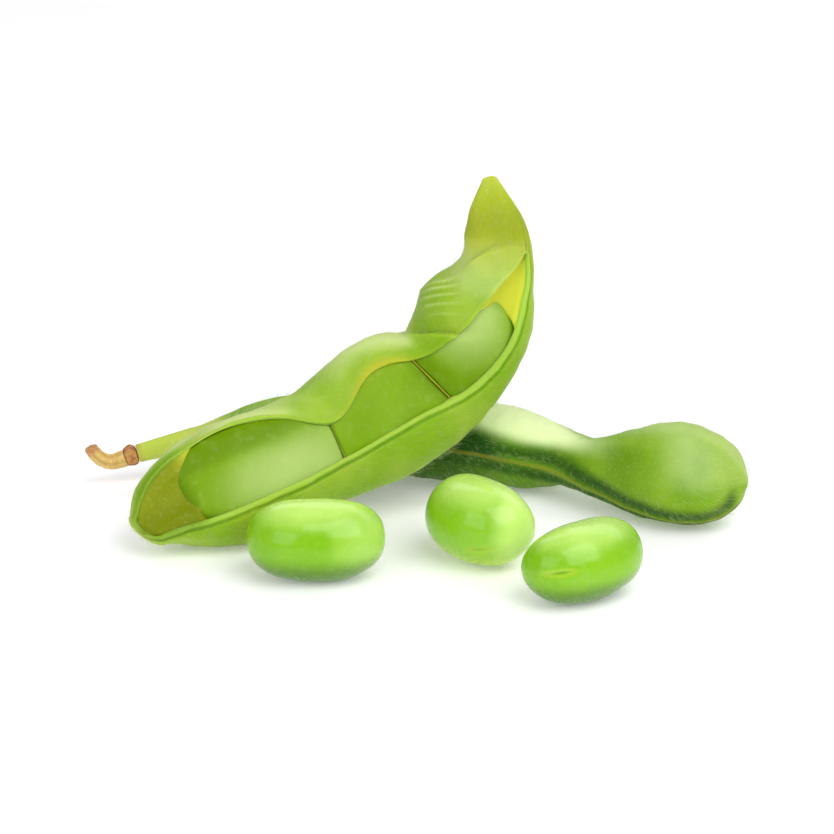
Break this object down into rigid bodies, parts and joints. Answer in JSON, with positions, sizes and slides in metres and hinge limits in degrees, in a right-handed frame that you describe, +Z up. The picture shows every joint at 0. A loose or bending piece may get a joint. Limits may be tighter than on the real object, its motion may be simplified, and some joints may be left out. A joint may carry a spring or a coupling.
{
  "type": "edamame pod bundle",
  "caption": "A small bundle of green soybean pods: one split open with its beans showing, leaning on a closed pod, with shelled beans lying in front.",
  "frame": {"origin": "the middle of the bundle's box, on the surface that it lies on", "axes": "+Z up; +X runs along the closed pod's row of chambers towards its rounded free end; +Y points to the back, away from the open slit"},
  "size_m": [0.074, 0.048, 0.0375],
  "materials": {
    "open_pod_skin": "soft, slightly fuzzy fresh pod skin, yellow inside",
    "closed_pod_skin": "fresh green pod skin with short pale hairs",
    "pod_bean_skin": "moist satin bean skin",
    "loose_bean_skin": "smooth glossy bean skin",
    "dry_calyx": "dry reddish-brown ring",
    "tan_stalk": "dry tan stalk"
  },
  "bodies": {
    "root": {"open_pod": "open_pod_skin", "pod_bean_lower": "pod_bean_skin", "pod_bean_middle": "pod_bean_skin", "pod_bean_upper": "pod_bean_skin", "closed_pod": "closed_pod_skin", "closed_pod_calyx": "dry_calyx", "closed_pod_stalk": "tan_stalk", "loose_bean_left": "loose_bean_skin", "loose_bean_middle": "loose_bean_skin", "loose_bean_right": "loose_bean_skin"}
  },
  "joints": []
}
